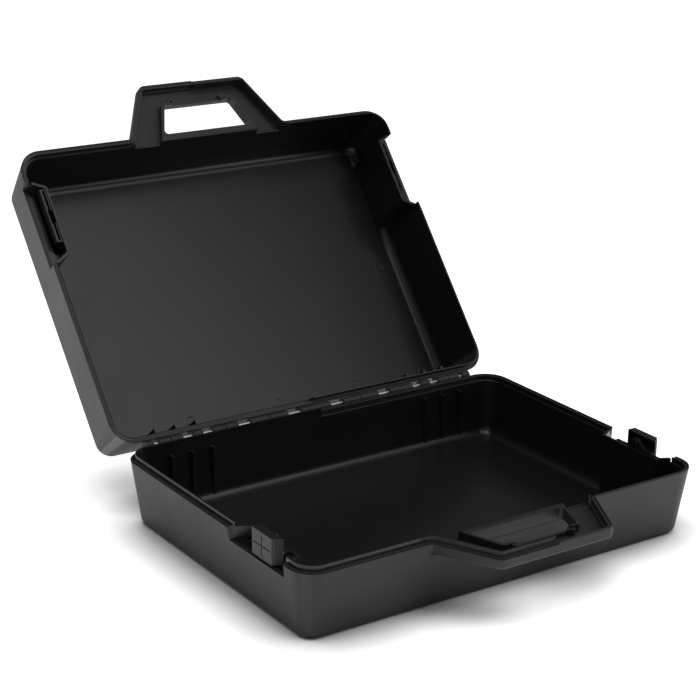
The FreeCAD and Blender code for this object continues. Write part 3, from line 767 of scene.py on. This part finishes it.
@dataclass
class Studio:
    """A pale floor, soft lamps and the camera where the photograph was taken from.

    Lengths are in metres, angles in degrees.
    """

    camera_place: tuple[float, float, float] = (-0.90164, -1.21284, 0.67802)
    camera_azimuth: float = -34.634
    camera_elevation: float = 18.976
    camera_roll: float = 1.034
    focal_pixels: float = 1920.25
    image_pixels: float = 700.0
    sensor_mm: float = 36.0
    clip_end: float = 50.0
    floor_colour: str = "f2f2f2"
    floor_roughness: float = 0.9
    floor_half: float = 8.0
    floor_glow: float = 0.90
    # Ambient occlusion dims the floor's glow near the case: a painted contact shadow.
    shadow_reach: float = 0.06
    shadow_from: float = 0.45
    shadow_to: float = 0.95
    shadow_samples: int = 8
    light_colour: str = "ffffff"
    world_strength: float = 0.12
    lamps: tuple[Softbox, ...] = (
        Softbox("key_softbox", (0.6, -0.85, 1.85), (-0.1, 0.2, 0.2), 0.9, 2.0, 9.0),
        Softbox("top_softbox", (-0.5, 0.1, 2.2), (0.0, 0.0, 0.05), 1.2, 1.0, 10.0),
        Softbox("left_softbox", (-1.6, -0.9, 1.1), (0.0, 0.0, 0.1), 1.2, 0.8, 1.0),
        Softbox("right_softbox", (2.0, -0.1, 1.0), (0.0, 0.0, 0.1), 1.2, 0.8, 9.0),
    )

    def build(self) -> None:
        """Makes the floor, the world, the lamps and the camera."""
        self._floor()
        self._world()
        for lamp in self.lamps:
            lamp.hang()
        self._camera()

    def _floor(self) -> None:
        """Lays the floor as a sheet that the camera sees as plain white, with the lamps' shadow
        kept and a painted contact shadow near the case.
        """
        mesh = bpy.data.meshes.new("studio_floor")
        side = self.floor_half
        corners = [(-side, -side, 0.0), (side, -side, 0.0), (side, side, 0.0), (-side, side, 0.0)]
        mesh.from_pydata(corners, [], [(0, 1, 2, 3)])
        floor = bpy.data.objects.new("studio_floor", mesh)
        bpy.context.scene.collection.objects.link(floor)
        mesh.materials.append(self._sheet())

    def _sheet(self) -> bpy.types.Material:
        """Makes the floor's finish: white card that glows for the camera; ambient occlusion dims
        the glow near the case as a painted contact shadow.

        Returns:
            The material.
        """
        material = empty_material("white_studio_sheet")
        tree = material.node_tree
        shader = add_node(
            tree, "ShaderNodeBsdfPrincipled", None,
            {"Base Color": linear(self.floor_colour), "Roughness": self.floor_roughness},
        )
        path = add_node(tree, "ShaderNodeLightPath")
        seen = path.outputs["Is Camera Ray"]
        for kind in ("Is Glossy Ray", "Is Transmission Ray"):
            seen = add_node(
                tree, "ShaderNodeMath", {"operation": "MAXIMUM"}, {0: seen, 1: path.outputs[kind]},
            ).outputs[0]
        # Painted contact shadow: the glow fades where ambient occlusion finds the case near.
        painted_shadow_occlusion = add_node(
            tree, "ShaderNodeAmbientOcclusion", {"samples": self.shadow_samples},
            {"Distance": self.shadow_reach},
        )
        glow_less_painted_shadow = add_node(
            tree, "ShaderNodeMapRange", None,
            {
                "Value": painted_shadow_occlusion.outputs["AO"], "From Min": self.shadow_from,
                "From Max": self.shadow_to, "To Max": self.floor_glow,
            },
        )
        strength = add_node(
            tree, "ShaderNodeMath", {"operation": "MULTIPLY"}, {0: glow_less_painted_shadow.outputs[0], 1: seen},
        )
        glow = add_node(
            tree, "ShaderNodeEmission", None,
            {"Color": linear(self.light_colour), "Strength": strength.outputs[0]},
        )
        both = add_node(
            tree, "ShaderNodeAddShader", None, {0: shader.outputs[0], 1: glow.outputs[0]},
        )
        add_node(tree, "ShaderNodeOutputMaterial", None, {"Surface": both.outputs[0]})
        return material

    def _world(self) -> None:
        """Makes a plain dim world; the floor fills the camera's whole view."""
        world = bpy.data.worlds.new("studio_world")
        bpy.context.scene.world = world
        world.use_nodes = True
        tree = world.node_tree
        tree.nodes.clear()
        light = add_node(
            tree, "ShaderNodeBackground", None,
            {"Color": linear(self.light_colour), "Strength": self.world_strength},
        )
        add_node(tree, "ShaderNodeOutputWorld", None, {"Surface": light.outputs[0]})

    def _camera(self) -> None:
        """Sets the camera by its place, turn and lens."""
        azimuth = math.radians(self.camera_azimuth)
        elevation = math.radians(self.camera_elevation)
        roll = math.radians(self.camera_roll)
        back = Vector((
            math.sin(azimuth) * math.cos(elevation),
            -math.cos(azimuth) * math.cos(elevation),
            math.sin(elevation),
        ))
        level = Vector((math.cos(azimuth), math.sin(azimuth), 0.0))
        upright = back.cross(level)
        right = level * math.cos(roll) + upright * math.sin(roll)
        up = upright * math.cos(roll) - level * math.sin(roll)
        turn = Matrix((right, up, back)).transposed()
        data = bpy.data.cameras.new("photograph_camera")
        data.sensor_width = self.sensor_mm
        data.lens = self.focal_pixels / self.image_pixels * self.sensor_mm
        data.clip_end = self.clip_end
        camera = bpy.data.objects.new("photograph_camera", data)
        camera.matrix_world = Matrix.Translation(self.camera_place) @ turn.to_4x4()
        bpy.context.scene.collection.objects.link(camera)
        bpy.context.scene.camera = camera


def main() -> None:
    """Builds the scene in order and reports each piece."""
    logging.basicConfig(level=logging.INFO, format="%(name)s: %(message)s")
    bpy.context.scene.view_settings.view_transform = "Standard"
    Studio().build()
    Shells().build()
    Latches().build()
    HingeRods().build()


if __name__ == "__main__":
    main()
